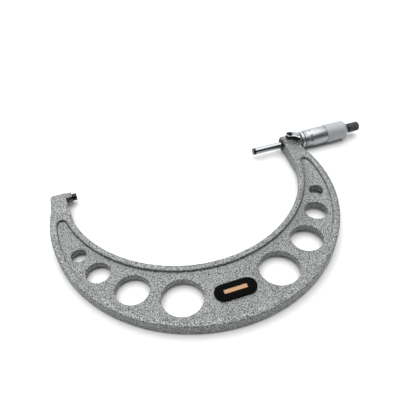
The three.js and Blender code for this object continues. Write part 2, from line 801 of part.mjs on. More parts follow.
// A ring of sloping teeth on the measuring axis that stand on a face and point along direction.
function ratchetTeeth(face, direction) {
  const inner = RATCHET_SHAFT_RADIUS + TOOTH_MARGIN;
  const outer = RATCHET_RADIUS - TOOTH_MARGIN;
  const pitch = (2 * Math.PI * inner) / RATCHET_TEETH;
  const slope = new THREE.Shape();
  slope.moveTo(0, -SEAT_GAP);
  slope.lineTo(pitch, -SEAT_GAP);
  slope.lineTo(pitch, 0);
  slope.lineTo(0, TOOTH_HEIGHT);
  const tooth = new THREE.ExtrudeGeometry(slope, {
    depth: outer - inner,
    bevelEnabled: false,
  });
  tooth.translate(0, 0, inner).rotateX(Math.PI / 2).rotateY(Math.PI / 2);
  if (direction < 0) tooth.rotateZ(Math.PI);
  let ring = null;
  for (let i = 0; i < RATCHET_TEETH; i++) {
    const turn = (2 * Math.PI * i) / RATCHET_TEETH;
    const copy = solidOf(tooth.clone().rotateX(turn).translate(face, 0, 0));
    ring = ring ? ring.add(copy) : copy;
  }
  return ring;
}

function ratchetBase() {
  const disc = tube(
    RATCHET_BASE_START,
    RATCHET_BASE_FACE,
    RATCHET_SHAFT_RADIUS + SEAT_GAP,
    RATCHET_RADIUS,
  );
  const base = solidOf(disc).add(ratchetTeeth(RATCHET_BASE_FACE, 1));
  return part("ratchet_base", geometryOf(base), blackenedSteel);
}

function ratchetSleeve() {
  const bore = RATCHET_SHAFT_RADIUS + RUNNING_GAP;
  const capBore = CAP_RADIUS + SEAT_GAP;
  const shell = turnedRing([
    [RATCHET_START, bore],
    [RATCHET_START, RATCHET_RADIUS],
    [RATCHET_END - RATCHET_CHAMFER, RATCHET_RADIUS],
    [RATCHET_END, RATCHET_RADIUS - RATCHET_CHAMFER],
    [RATCHET_END, capBore],
    [CAP_SEAT, capBore],
    [CAP_SEAT, RATCHET_CAVITY_RADIUS],
    [CAVITY_START, RATCHET_CAVITY_RADIUS],
    [CAVITY_START, bore],
  ]);
  const sleeve = solidOf(shell).add(ratchetTeeth(RATCHET_START, -1));
  return part("ratchet_sleeve", geometryOf(sleeve), blackenedSteel);
}

function ratchetCap() {
  const disc = bar(CAP_SEAT, RATCHET_END, CAP_RADIUS);
  return part("ratchet_cap", disc, blackenedSteel);
}

// The screw that ties the ratchet to the spindle and backs its spring.
function ratchetScrew() {
  const foot = THIMBLE_BACK - RATCHET_SHAFT_GRIP;
  const blank = turned([
    [foot, 0],
    [foot, RATCHET_SHAFT_RADIUS],
    [RATCHET_HEAD_START, RATCHET_SHAFT_RADIUS],
    [RATCHET_HEAD_START, RATCHET_HEAD_RADIUS],
    [RATCHET_HEAD_END, RATCHET_HEAD_RADIUS],
    [RATCHET_HEAD_END, 0],
  ]);
  const slotDepth = RATCHET_HEAD_LENGTH / 2;
  const slot = new THREE.BoxGeometry(
    2 * slotDepth,
    SCREW_SLOT,
    2 * RATCHET_HEAD_RADIUS + CUT_OVERRUN,
  ).translate(RATCHET_HEAD_END, 0, 0);
  const screw = solidOf(blank).subtract(solidOf(slot));
  return part("ratchet_screw", geometryOf(screw), darkSteel);
}

// A helix along the measuring axis.
class Helix extends THREE.Curve {
  constructor(start, end, radius, turns) {
    super();
    Object.assign(this, { start, end, radius, turns });
  }
  getPoint(t, target = new THREE.Vector3()) {
    const angle = 2 * Math.PI * this.turns * t;
    return target.set(
      THREE.MathUtils.lerp(this.start, this.end, t),
      this.radius * Math.cos(angle),
      this.radius * Math.sin(angle),
    );
  }
}

function ratchetSpring() {
  const wire = SPRING_WIRE / 2;
  const radius = (RATCHET_SHAFT_RADIUS + RATCHET_CAVITY_RADIUS) / 2;
  const endGap = wire + SEAT_GAP;
  const path = new Helix(
    CAVITY_START + endGap,
    RATCHET_HEAD_START - endGap,
    radius,
    SPRING_TURNS,
  );
  const section = new THREE.Shape();
  section.absarc(0, 0, wire, 0, 2 * Math.PI, false);
  const coil = new THREE.ExtrudeGeometry(section, {
    steps: SPRING_TURNS * SPRING_STEPS_PER_TURN,
    curveSegments: WIRE_STEPS,
    extrudePath: path,
  });
  return part("ratchet_spring", coil, springSteel);
}

// ---- Assembly -------------------------------------------------------------

function group(...parts) {
  return new THREE.Group().add(...parts);
}

const micrometer = group(
  group(frame(), anvil(), anvilCarbideTip(), anvilBush(), ...insulatingPlates()),
  group(bossSeal(), guideSleeve(), adjustingNut(), graduatedSleeve()),
  group(lockCollet(), lockScrew(), lockLever()),
  group(spindleCarbideTip(), spindle(), thimble(), ratchetBase(), ratchetScrew()),
  group(ratchetSleeve(), ratchetCap(), ratchetSpring()),
);

export default micrometer;
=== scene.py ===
"""An outside micrometer for 175 to 200 mm, closed to its shortest reading.

Everything is in metres. The origin is the centre of the anvil's measuring face, +X runs
along the measuring axis to the thimble, and +Z stands square to the frame.
"""

import math

import bmesh
import bpy
from mathutils import Matrix, Vector


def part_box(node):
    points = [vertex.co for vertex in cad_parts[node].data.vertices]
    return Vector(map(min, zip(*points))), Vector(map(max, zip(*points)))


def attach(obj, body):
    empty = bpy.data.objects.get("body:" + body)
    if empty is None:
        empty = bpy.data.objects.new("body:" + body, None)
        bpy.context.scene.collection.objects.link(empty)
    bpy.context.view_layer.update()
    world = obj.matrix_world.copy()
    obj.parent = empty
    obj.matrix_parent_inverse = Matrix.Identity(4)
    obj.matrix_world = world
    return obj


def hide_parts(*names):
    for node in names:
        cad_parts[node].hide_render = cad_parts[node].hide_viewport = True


bl_info = {
    "name": "Outside Micrometer",
    "version": (1, 0, 0),
    "blender": (4, 5, 0),
    "location": "View3D > Sidebar > Micrometer",
    "description": "Builds the pieces, finishes and stage of an outside micrometer",
    "category": "Object",
}

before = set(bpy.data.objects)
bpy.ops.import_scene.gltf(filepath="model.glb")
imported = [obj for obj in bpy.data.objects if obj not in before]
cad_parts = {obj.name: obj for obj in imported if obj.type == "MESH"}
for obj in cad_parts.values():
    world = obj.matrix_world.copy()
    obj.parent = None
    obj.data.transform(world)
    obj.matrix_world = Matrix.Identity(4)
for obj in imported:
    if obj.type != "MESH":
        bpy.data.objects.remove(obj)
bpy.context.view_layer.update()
MM = 0.001

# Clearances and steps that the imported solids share
SEAT_GAP = 0.1 * MM  # pressed, glued or screwed together
RUNNING_GAP = 0.2 * MM  # round pieces that turn
RIM_ABOVE_WEB = 2.5 * MM
RATCHET_TEETH = 12
SAME_HEIGHT = 0.01 * MM
WELD = 0.002 * MM  # points nearer than this become one


def colour(hex_value):
    """Linear colour, with full alpha, of an sRGB hex value."""
    channels = []
    for shift in (16, 8, 0):
        c = ((hex_value >> shift) & 255) / 255
        channels.append(c / 12.92 if c <= 0.04045 else ((c + 0.055) / 1.055) ** 2.4)
    return (*channels, 1.0)


def low(node):
    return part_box(node)[0]


def high(node):
    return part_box(node)[1]


# ---- Sizes and colours ------------------------------------------------------


def length(name, description, millimetres):
    """A length the user may change."""
    return bpy.props.FloatProperty(
        name=name, description=description, default=millimetres * MM, min=0, unit="LENGTH"
    )


def count(name, description, value):
    return bpy.props.IntProperty(name=name, description=description, default=value, min=1)


def tint(name, description, hex_value):
    return bpy.props.FloatVectorProperty(
        name=name,
        description=description,
        default=colour(hex_value),
        size=4,
        min=0,
        max=1,
        subtype="COLOR",
    )


class FrameSettings(bpy.types.PropertyGroup):
    edge_round: length("Edge rounding", "Radius on the outer edges of the rims", 1.1)
    hole_round: length("Hole rounding", "Radius on the edges of the lightening holes", 0.6)
    enamel: tint("Enamel", "Body colour of the hammered enamel", 0x7E8181)
    enamel_deep: tint("Enamel, deep", "Colour between the hammered drops", 0x383B3B)
    # The lighter patches are partly the flake's own colour and partly painted glint.
    enamel_bright: tint("Enamel, bright", "Colour of the patches of flake", 0xCDD0CF)


class PlateSettings(bpy.types.PropertyGroup):
    edge_round: length("Edge rounding", "Radius on the moulded edges", 0.5)
    label_border: length("Label border", "Width of the rim pressed round the label", 0.35)
    plastic: tint("Plastic", "Colour of the moulded plates", 0x050505)
    gold: tint("Label", "Colour of the foil label", 0x9C7B5C)


class AnvilSettings(bpy.types.PropertyGroup):
    sides: count("Sides", "Facets round each turned piece", 96)
    edge_ease: length("Edge ease", "Small chamfer on turned edges", 0.18)


class SpindleSettings(bpy.types.PropertyGroup):
    sides: count("Sides", "Facets round the spindle", 72)
    thread_pitch: length("Thread pitch", "Advance in one turn of the thimble", 0.5)
    thread_depth: length("Thread depth", "Depth of the measuring thread", 0.25)


class LockSettings(bpy.types.PropertyGroup):
    edge_round: length("Edge rounding", "Radius on the polished edges", 0.55)


class SleeveSettings(bpy.types.PropertyGroup):
    sides: count("Sides", "Facets round the sleeve", 128)
    travel: length("Travel", "Length of the scale", 25)
    line_width: length("Line width", "Width of the engraved lines", 0.14)
    digit_height: length("Digit height", "Height of the engraved numbers", 1.5)


class ThimbleSettings(bpy.types.PropertyGroup):
    sides: count("Sides", "Facets round the thimble, two to each knurl", 156)
    divisions: count("Divisions", "Lines round the bevel, one for each 0.01 mm", 50)
    knurl_depth: length("Knurl depth", "Depth of the diamond knurl", 0.16)
    knurl_pitch: length("Knurl pitch", "Lengthwise pitch of the diamond knurl", 0.76)
    line_width: length("Line width", "Width of the engraved lines", 0.28)
    digit_height: length("Digit height", "Height of the engraved numbers", 2.3)


class RatchetSettings(bpy.types.PropertyGroup):
    sides: count("Sides", "Facets round the ratchet, two to each ridge", 96)
    knurl_depth: length("Knurl depth", "Depth of the lengthwise ridges", 0.16)


class StageSettings(bpy.types.PropertyGroup):
    floor: tint("Floor", "Colour of the floor", 0xF4F4F4)


GROUPS = {
    "mic_frame": FrameSettings,
    "mic_plates": PlateSettings,
    "mic_anvil": AnvilSettings,
    "mic_spindle": SpindleSettings,
    "mic_lock": LockSettings,
    "mic_sleeve": SleeveSettings,
    "mic_thimble": ThimbleSettings,
    "mic_ratchet": RatchetSettings,
    "mic_stage": StageSettings,
}


# ---- Working in edit mode ---------------------------------------------------


def deselect():
    if bpy.context.object and bpy.context.object.mode != "OBJECT":
        bpy.ops.object.mode_set(mode="OBJECT")
    bpy.ops.object.select_all(action="DESELECT")


def take(piece):
    """Makes a piece the only selected and active one."""
    deselect()
    piece.select_set(True)
    bpy.context.view_layer.objects.active = piece


def edit(mode="FACE"):
    bpy.ops.object.mode_set(mode="EDIT")
    bpy.ops.mesh.select_mode(type=mode)


def leave():
    bpy.ops.object.mode_set(mode="OBJECT")


def settle():
    """Puts the active piece's place, turn and scale into its mesh."""
    bpy.ops.object.transform_apply(location=True, rotation=True, scale=True)


def pick(kind, test):
    """Selects, in edit mode, only the vertices, edges or faces that pass a test."""
    mesh = bmesh.from_edit_mesh(bpy.context.object.data)
    bpy.ops.mesh.select_all(action="DESELECT")
    found = [item for item in getattr(mesh, kind) if test(item)]
    for item in found:
        item.select_set(True)
    if kind == "verts":
        mesh.select_flush_mode()
    bmesh.update_edit_mesh(bpy.context.object.data)
    if not found:
        raise RuntimeError(f"nothing to select on {bpy.context.object.name}")


def tidy_mesh():
    """Welds the active piece's seams and turns its faces outwards."""
    edit("VERT")
    bpy.ops.mesh.select_all(action="SELECT")
    bpy.ops.mesh.remove_doubles(threshold=WELD)
    bpy.ops.mesh.normals_make_consistent(inside=False)
    if bmesh.from_edit_mesh(bpy.context.object.data).calc_volume(signed=True) < 0:
        bpy.ops.mesh.flip_normals()
    leave()


def smooth(degrees=32):
    bpy.ops.object.shade_smooth_by_angle(angle=math.radians(degrees))


def finish(piece, body, slot, material, *nodes):
    """Gives a finished piece its body, its finish and the solids that it stands for. The slot
    is not used.
    """
    take(piece)
    settle()
    piece.data.materials.clear()
    piece.data.materials.append(material)
    if nodes:
        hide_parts(*nodes)
    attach(piece, body)


def dress(piece, material, test):
    """Gives the faces of a finished piece that pass a test a second finish."""
    take(piece)
    piece.data.materials.append(material)
    piece.active_material_index = len(piece.data.materials) - 1
    edit("FACE")
    pick("faces", test)
    bpy.ops.object.material_slot_assign()
    leave()


def eased(profile, size, closed=False):
    """Breaks each corner of a turned profile with a small three-point round."""
    points = [Vector(p) for p in profile]
    done = []
    last = len(points) - 1
    for i, here in enumerate(points):
        if not closed and i in (0, last):
            done.append(here)
            continue
        before, after = points[i - 1], points[(i + 1) % len(points)]
        back, on = before - here, after - here
        bend = back.angle(on, 0) if back.length and on.length else math.pi
        if bend > math.radians(165):
            done.append(here)
            continue
        reach = min(size, 0.4 * back.length, 0.4 * on.length)
        start = here + back.normalized() * reach
        end = here + on.normalized() * reach
        done += [start, (start + end) * 0.2 + here * 0.6, end]
    return [tuple(p) for p in done]


def turned(name, profile, sides, ring=False):
    """A piece turned on the measuring axis, from (x, radius) stations in order.

    A ring's profile closes on itself; any other is solid between its first and last station.
    """
    deselect()
    x, radius = profile[0]
    bpy.ops.mesh.primitive_circle_add(
        vertices=sides,
        radius=radius,
        fill_type="NOTHING" if ring else "NGON",
        location=(x, 0, 0),
        rotation=(0, math.pi / 2, 0),
    )
    piece = bpy.context.object
    piece.name = name
    settle()
    edit("EDGE" if ring else "FACE")
    bpy.ops.mesh.select_all(action="SELECT")
    for next_x, next_radius in profile[1:] + (profile[:1] if ring else []):
        bpy.ops.mesh.extrude_region_move(
            TRANSFORM_OT_translate={"value": (next_x - x, 0, 0)}
        )
        scale = next_radius / radius
        bpy.ops.transform.resize(value=(1, scale, scale), center_override=(next_x, 0, 0))
        x, radius = next_x, next_radius
    leave()
    tidy_mesh()
    return piece


def round_off(size, segments, test):
    """Rounds the chosen edges of the active piece."""
    edit("EDGE")
    pick("edges", test)
    bpy.ops.mesh.bevel(offset=size, segments=segments, profile=0.5, affect="EDGES")
    leave()


def sharp_at(height, within):
    """A test for the sharp edges that lie at one height."""

    def test(edge):
        return (
            all(abs(v.co.z - height) < within for v in edge.verts)
            and len(edge.link_faces) == 2
            and edge.calc_face_angle(0) > 1
        )

    return test


def join(name, pieces):
    take(pieces[0])
    for piece in pieces[1:]:
        piece.select_set(True)
    if len(pieces) > 1:
        bpy.ops.object.join()
    joined = bpy.context.object
    joined.name = name
    return joined


def merged_copy(name, node):
    """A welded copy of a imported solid, with its flat faces whole again."""
    deselect()
    piece = bpy.data.objects.new(name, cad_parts[node].data.copy())
    bpy.context.scene.collection.objects.link(piece)
    take(piece)
    piece.data.materials.clear()
    for attribute in ("custom_normal", "UVMap"):
        if attribute in piece.data.attributes:
            piece.data.attributes.remove(piece.data.attributes[attribute])
    edit("VERT")
    bpy.ops.mesh.select_all(action="SELECT")
    bpy.ops.mesh.remove_doubles(threshold=WELD)
    bpy.ops.mesh.dissolve_limited(angle_limit=math.radians(0.5))
    leave()
    return piece


# ---- Finishes ---------------------------------------------------------------


def add(tree, kind, settings=None, feeds=None):
    """Adds one shader node, with its settings and what feeds its inputs: values or sockets."""
    node = tree.nodes.new("ShaderNode" + kind)
    for name, value in (settings or {}).items():
        setattr(node, name, value)
    for socket, value in (feeds or {}).items():
        if isinstance(value, bpy.types.NodeSocket):
            tree.links.new(value, node.inputs[socket])
        else:
            node.inputs[socket].default_value = value
    return node


def new_finish(name):
    """An empty material, with coordinates that count in millimetres."""
    material = bpy.data.materials.new(name)
    material.use_nodes = True
    tree = material.node_tree
    tree.nodes.clear()
    place = add(tree, "TexCoord").outputs["Object"]
    mm = add(
        tree, "Mapping", feeds={"Vector": place, "Scale": (1 / MM, 1 / MM, 1 / MM)}
    ).outputs["Vector"]
    return material, tree, mm


def noise(tree, place, scale, detail, roughness=0.5):
    feeds = {"Vector": place, "Scale": scale, "Detail": detail, "Roughness": roughness}
    return add(tree, "TexNoise", feeds=feeds).outputs["Fac"]


def mapped(tree, value, from_min, from_max, to_min, to_max):
    feeds = {
        "Value": value,
        "From Min": from_min,
        "From Max": from_max,
        "To Min": to_min,
        "To Max": to_max,
    }
    return add(tree, "MapRange", feeds=feeds).outputs["Result"]


def mixed(tree, factor, first, second):
    """A colour between two others."""
    feeds = {0: factor, 6: first, 7: second}
    return add(tree, "Mix", {"data_type": "RGBA"}, feeds).outputs[2]


def toned(tree, factor, base, darker, lighter):
    """A colour that wanders between two shades of a base."""
    return mixed(tree, factor, (*(base * darker), 1), (*(base * lighter), 1))


def close_finish(material, tree, feeds):
    shader = add(tree, "BsdfPrincipled", feeds=feeds)
    add(tree, "OutputMaterial", feeds={"Surface": shader.outputs["BSDF"]})
    return material


def bump(tree, height, depth_mm, strength):
    return add(
        tree,
        "Bump",
        feeds={"Height": height, "Distance": depth_mm * MM, "Strength": strength},
    ).outputs["Normal"]


def hammered_enamel(settings):
    """Hammered stove enamel on cast iron, sprayed and baked.

    Silicone makes the wet enamel crawl into drops about 1 mm across, and aluminium flake
    gathers in lighter patches, whose colour is partly the flake's own and partly painted
    glint, so the grey glitters with a soft gloss.
    """
    material, tree, mm = new_finish("hammered stove enamel")
    wander = add(tree, "TexNoise", feeds={"Vector": mm, "Scale": 0.9, "Detail": 2.0})
    shift = add(
        tree,
        "VectorMath",
        {"operation": "MULTIPLY_ADD"},
        {0: wander.outputs["Color"], 1: (0.9, 0.9, 0.9), 2: mm},
    ).outputs["Vector"]
    drops = add(
        tree,
        "TexVoronoi",
        {"feature": "SMOOTH_F1"},
        {"Vector": shift, "Scale": 0.95, "Smoothness": 0.3},
    ).outputs["Distance"]
    crown = mapped(tree, drops, 0.12, 0.62, 1.0, 0.0)
    flake = noise(tree, mm, 1.35, 3.0, roughness=0.7)
    deep = mapped(tree, crown, 0.0, 0.45, 1.0, 0.0)
    # The lighter patches are partly the flake's own colour and partly painted glint.
    bright = mapped(tree, flake, 0.52, 0.65, 0.0, 0.85)
    body = mixed(tree, deep, tuple(settings.enamel), tuple(settings.enamel_deep))
    skin = mixed(tree, bright, body, tuple(settings.enamel_bright))
    rough = mapped(tree, flake, 0.3, 0.7, 0.6, 0.42)
    return close_finish(
        material,
        tree,
        {
            "Base Color": skin,
            "Metallic": 0.35,
            "Roughness": rough,
            "Coat Weight": 0.12,
            "Coat Roughness": 0.2,
            "Normal": bump(tree, crown, 0.14, 0.7),
        },
    )


def turned_metal(name, hex_value, roughness, lines_per_mm, spread, depth_mm=0.0008):
    """A metal finished on a lathe or grinder, whose fine marks run round the axis."""
    material, tree, mm = new_finish(name)
    along = add(
        tree, "Mapping", feeds={"Vector": mm, "Scale": (lines_per_mm, 0.12, 0.12)}
    ).outputs["Vector"]
    marks = noise(tree, along, 1.0, 2.0)
    patches = noise(tree, mm, 0.22, 3.0)
    tone = toned(tree, marks, Vector(colour(hex_value)[:3]), 0.86, 1.06)
    rough = mapped(tree, patches, 0.3, 0.7, roughness - spread, roughness + spread)
    return close_finish(
        material,
        tree,
        {
            "Base Color": tone,
            "Metallic": 1.0,
            "Roughness": rough,
            "Normal": bump(tree, marks, depth_mm, 0.5),
        },
    )


def grained(
    name, base, roughness, metallic, grains_per_mm, depth_mm, spread=0.06, gloss=0.5
):
    """A moulded, plated, blackened or painted finish with a fine even grain."""
    material, tree, mm = new_finish(name)
    grain = noise(tree, mm, grains_per_mm, 3.0)
    patches = noise(tree, mm, 0.35, 2.0)
    tone = toned(tree, patches, Vector(base[:3]), 0.85, 1.1)
    rough = mapped(tree, grain, 0.3, 0.7, roughness - spread, roughness + spread)
    return close_finish(
        material,
        tree,
        {
            "Base Color": tone,
            "Metallic": metallic,
            "Specular IOR Level": gloss,
            "Roughness": rough,
            "Normal": bump(tree, grain, depth_mm, 0.6),
        },
    )


def finishes():
    """The metals, the blacks and the acetal, made once and shared."""
    if "ground tool steel" in bpy.data.materials:
        return bpy.data.materials
    # Hardened steel, cylindrically ground: bright, with a faint ring grain.
    turned_metal("ground tool steel", 0x96989A, 0.16, 5, 0.03)
    # Tungsten carbide, lapped: dark grey with a glassy face.
    turned_metal("lapped tungsten carbide", 0x2E2F31, 0.2, 3, 0.03)
    # Steel, turned and lightly blued: dark grey, with a dull sheen.
    turned_metal("turned dark steel", 0x6A6B6E, 0.32, 4, 0.05)
    # Ground tool steel coloured near black, with a narrow shine: painted shade for the dark
    # reflections on the anvil's pin.
    turned_metal("blued tool steel", 0x2A2B2D, 0.25, 5, 0.03)
    # Satin chrome over turned brass or steel: pale, glare-free, finely ringed.
    turned_metal("satin chrome plate", 0xA6A9AB, 0.38, 6, 0.04, 0.0012)
    # The same plate over a knurl: its diamonds scatter the light, so it is matt.
    grained("knurled satin chrome plate", colour(0xB0B3B5), 0.7, 0.5, 2, 0.02)
    # Hardened spring steel, drawn or turned: grey with a soft shine.
    turned_metal("turned spring steel", 0x9A9CA0, 0.3, 5, 0.05)
    # Free-cutting brass, turned: yellow with bright rings.
    turned_metal("turned brass", 0xB9A060, 0.3, 5, 0.05)
    # Bright chrome over polished zinc casting: mirror-like, with a slight wave.
    grained("polished chrome plate", colour(0x94979A), 0.09, 1.0, 0.5, 0.01, 0.02)
    # Steel, chemically blackened and worn: dark grey with a dull sheen.
    grained("black oxide steel", colour(0x4A4A4B), 0.45, 0.8, 6, 0.004)
    # The same steel, fresh and oiled: black with a small glint. It also serves as painted
    # shade on the chrome lever's side walls.
    grained("oiled black steel", colour(0x101011), 0.35, 0.2, 2, 0.004)
    # Acetal, moulded: black, slightly glossy.
    grained("moulded acetal", colour(0x0B0B0B), 0.3, 0.0, 2, 0.01)
    # Engraving filled with black paint: flat black.
    grained("black engraving fill", colour(0x141416), 0.6, 0.0, 8, 0.002)
    return bpy.data.materials


def moulded_plastic(settings):
    """Phenolic plate, compression moulded: black with a fine eggshell grain."""
    return grained(
        "moulded phenolic plastic", settings.plastic, 0.4, 0.0, 3, 0.01, gloss=0.02
    )


def gold_foil(settings):
    """Anodised foil label, gold coloured: a warm satin with fine rolling lines."""
    material, tree, mm = new_finish("gold anodised foil")
    along = add(
        tree, "Mapping", feeds={"Vector": mm, "Scale": (0.3, 9, 1)}
    ).outputs["Vector"]
    lines = noise(tree, along, 1.0, 2.0)
    tone = toned(tree, lines, Vector(settings.gold[:3]), 0.8, 1.1)
    return close_finish(
        material,
        tree,
        {
            "Base Color": tone,
            "Metallic": 0.7,
            "Roughness": 0.45,
            "Normal": bump(tree, lines, 0.004, 0.5),
        },
    )


# ---- Pieces -----------------------------------------------------------------


class MICROMETER_OT_frame(bpy.types.Operator):
    """Builds the cast frame with rounded rims and hammered enamel"""

    bl_idname = "micrometer.frame"
    bl_label = "Frame"

    def execute(self, context):
        settings = context.scene.mic_frame
        piece = merged_copy("cast_frame", "frame")
        web = low("front_insulating_plate").z
        boss_start, boss_depth = low("boss_seal").x - 2 * MM, 12 * MM
        lug_end, lug_depth = 6 * MM, 9 * MM

        def on_the_bow(edge):
            middle = (edge.verts[0].co + edge.verts[1].co) / 2
            on_the_boss = middle.x > boss_start and middle.y > -boss_depth
            on_the_lug = middle.x < lug_end and middle.y > -lug_depth
            return not (on_the_boss or on_the_lug)

        def corner_at(height):
            def test(edge):
                return (
                    all(abs(abs(v.co.z) - height) < SAME_HEIGHT for v in edge.verts)
                    and len(edge.link_faces) == 2
                    and edge.calc_face_angle(0) > math.radians(60)
                    and on_the_bow(edge)
                )

            return test

        round_off(settings.hole_round, 2, corner_at(web))
        round_off(settings.edge_round, 3, corner_at(web + RIM_ABOVE_WEB))
        tidy_mesh()
        smooth(35)
        finish(piece, "frame", "hammered_enamel", hammered_enamel(settings), "frame")
        return {"FINISHED"}


class MICROMETER_OT_plates(bpy.types.Operator):
    """Builds the insulating plates and the foil label"""

    bl_idname = "micrometer.plates"
    bl_label = "Insulating plates"

    def plate(self, name, node, settings):
        a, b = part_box(node)
        centre, size = (a + b) / 2, b - a
        deselect()
        bpy.ops.mesh.primitive_cube_add(size=1, location=centre, scale=size)
        piece = bpy.context.object
        piece.name = name
        settle()
        round_off(
            size.y / 2 - WELD,
            20,
            lambda e: abs(e.verts[0].co.z - e.verts[1].co.z) > size.z / 2,
        )
        outer = b.z if b.z > 0 else a.z
        round_off(settings.edge_round, 4, sharp_at(outer, SAME_HEIGHT))
        return piece

    def recess(self, half, middle):
        """Sinks a flat-floored rectangle into the active plate for the label."""
        edit("FACE")
        for axis in (0, 1):
            for side in (-1, 1):
                place, facing = middle.copy(), Vector()
                place[axis] += side * half[axis]
                facing[axis] = side
                bpy.ops.mesh.select_all(action="SELECT")
                bpy.ops.mesh.bisect(plane_co=place, plane_no=facing)

        def in_the_middle(face):
            offset = face.calc_center_median() - middle
            inside = abs(offset.x) < half.x and abs(offset.y) < half.y
            return face.normal.z > 0.9 and inside

        pick("faces", in_the_middle)
        bpy.ops.mesh.extrude_region_move(
            TRANSFORM_OT_translate={"value": (0, 0, -2 * half.z)}
        )
        leave()

    def execute(self, context):
        settings = context.scene.mic_plates
        plastic = moulded_plastic(settings)
        front = self.plate("front_plate", "front_insulating_plate", settings)
        a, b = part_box("plate_label")
        middle, size = (a + b) / 2, b - a
        play = Vector((0.1, 0.1, 0)) * MM
        self.recess(size / 2 + play, middle)
        smooth()
        finish(front, "frame", "black_plastic", plastic, "front_insulating_plate")
        back = self.plate("back_plate", "back_insulating_plate", settings)
        smooth()
        finish(back, "frame", "black_plastic", plastic, "back_insulating_plate")

        deselect()
        bpy.ops.mesh.primitive_cube_add(size=1, location=middle, scale=size)
        label = bpy.context.object
        label.name = "foil_label"
        settle()
        edit("FACE")
        pick("faces", lambda f: f.normal.z > 0.9)
        bpy.ops.mesh.inset(thickness=settings.label_border)
        step_width, step_depth = 0.08 * MM, 0.1 * MM
        bpy.ops.mesh.inset(thickness=step_width, depth=-step_depth)
        leave()
        smooth()
        finish(label, "frame", "gold_foil", gold_foil(settings), "plate_label")
        return {"FINISHED"}


class MICROMETER_OT_anvil(bpy.types.Operator):
    """Builds the anvil, its carbide tip, its bush and the spindle's tip"""

    bl_idname = "micrometer.anvil"
    bl_label = "Anvil and carbide tips"

    def execute(self, context):
        settings = context.scene.mic_anvil
        ease, sides = settings.edge_ease, settings.sides
        made = finishes()

        a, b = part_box("anvil")
        radius = b.z
        pin = turned("anvil_pin", [(a.x, radius), (b.x, radius)], sides)
        smooth()
        # The pin is ground steel; its near-black finish is painted shade.
        finish(pin, "frame", "dark_steel", made["blued tool steel"], "anvil")

        for name, node, body in (
            ("anvil_tip", "anvil_carbide_tip", "frame"),
            ("spindle_tip_disc", "spindle_carbide_tip", "spindle_tip"),
        ):
            a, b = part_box(node)
            outer = b.z
            faced = a.x if node.startswith("spindle") else b.x
            joint = b.x if faced == a.x else a.x
            step = math.copysign(ease, faced - joint)
            groove = 0.06 * MM
            tip = turned(
                name,
                [
                    (faced, outer - ease),
                    (faced - step, outer),
                    (joint + 0.4 * step, outer),
                    (joint + 0.2 * step, outer - groove),
                    (joint, outer - groove),
                ],
                sides,
            )
            smooth()
            finish(tip, body, "carbide", made["lapped tungsten carbide"], node)

        a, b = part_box("anvil_bush")
        flange = b.z
        flange_step, seat_depth = 0.75 * MM, 10 * MM
        stem = flange - flange_step
        bore = radius + SEAT_GAP
        face = b.x
        seat = a.x + seat_depth
        # A shallow ring cut round the flange: millimetres along it, and deep.
        ring_cut = ((3.4, 0), (3.6, 0.25), (3.9, 0.25), (4.1, 0))
        bush = turned(
            "anvil_bush_ring",
            eased(
                [
                    (a.x, bore),
                    (a.x, stem),
                    (seat, stem),
                    (seat, flange),
                    *((seat + x * MM, flange - deep * MM) for x, deep in ring_cut),
                    (face, flange),
                    (face, bore),
                ],
                0.3 * MM,
                closed=True,
            ),
            sides,
            ring=True,
        )
        smooth()
        finish(bush, "frame", "dark_steel", made["turned dark steel"], "anvil_bush")
        return {"FINISHED"}


class MICROMETER_OT_spindle(bpy.types.Operator):
    """Builds the spindle with its measuring thread"""

    bl_idname = "micrometer.spindle"
    bl_label = "Spindle"

    def execute(self, context):
        settings = context.scene.mic_spindle
        a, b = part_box("spindle")
        pin = high("anvil").z
        seat = b.z
        end_step, end_length = 0.4 * MM, 6.7 * MM
        plain_bearing = 7.1 * MM
        crest = seat - end_step
        thread_start = low("guide_sleeve").x + plain_bearing
        thread_end = b.x - end_length
        crest_at, root_at = 0.1, 0.6  # shares of the pitch
        profile = [(a.x, pin), (thread_start, pin)]
        turns = int((thread_end - thread_start) / settings.thread_pitch)
        for i in range(turns):
            x = thread_start + i * settings.thread_pitch
            root = crest - settings.thread_depth
            profile.append((x + crest_at * settings.thread_pitch, crest))
            profile.append((x + root_at * settings.thread_pitch, root))
        profile += [(thread_end, crest), (thread_end + 0.05 * MM, seat), (b.x, seat)]
        hole_radius, hole_depth = 1.6 * MM, 8.6 * MM
        profile += [(b.x, hole_radius), (b.x - hole_depth, hole_radius)]
        piece = turned("spindle_stem", profile, settings.sides)
        smooth(25)
        made = finishes()
        finish(piece, "spindle", "ground_steel", made["ground tool steel"], "spindle")
        return {"FINISHED"}


class MICROMETER_OT_bearing(bpy.types.Operator):
    """Builds the seal in the boss and finishes the hidden bearing pieces"""

    bl_idname = "micrometer.bearing"
    bl_label = "Spindle bearing"

    def execute(self, context):
        made = finishes()
        a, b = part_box("boss_seal")
        outer = b.z
        inner = high("anvil").z + RUNNING_GAP
        groove = (outer + inner) / 2
        groove_depth = 0.7 * MM
        half_mouth, half_floor = 0.55 * MM, 0.4 * MM
        seal = turned(
            "boss_seal_ring",
            eased(
                [
                    (b.x, inner),
                    (b.x, outer),
                    (a.x, outer),
                    (a.x, groove + half_mouth),
                    (a.x + groove_depth, groove + half_floor),
                    (a.x + groove_depth, groove - half_floor),
                    (a.x, groove - half_mouth),
                    (a.x, inner),
                ],
                0.15 * MM,
                closed=True,
            ),
            context.scene.mic_anvil.sides,
            ring=True,
        )
        smooth()
        finish(seal, "frame", "black_plastic", made["moulded acetal"], "boss_seal")
        for node, finish_name in (
            ("guide_sleeve", "turned spring steel"),
            ("adjusting_nut", "turned spring steel"),
            ("lock_collet", "turned brass"),
            ("ratchet_spring", "turned spring steel"),
            ("ratchet_screw", "turned dark steel"),
        ):
            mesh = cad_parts[node].data
            if not mesh.materials:
                mesh.materials.append(None)
            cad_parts[node].material_slots[0].material = made[finish_name]
        return {"FINISHED"}


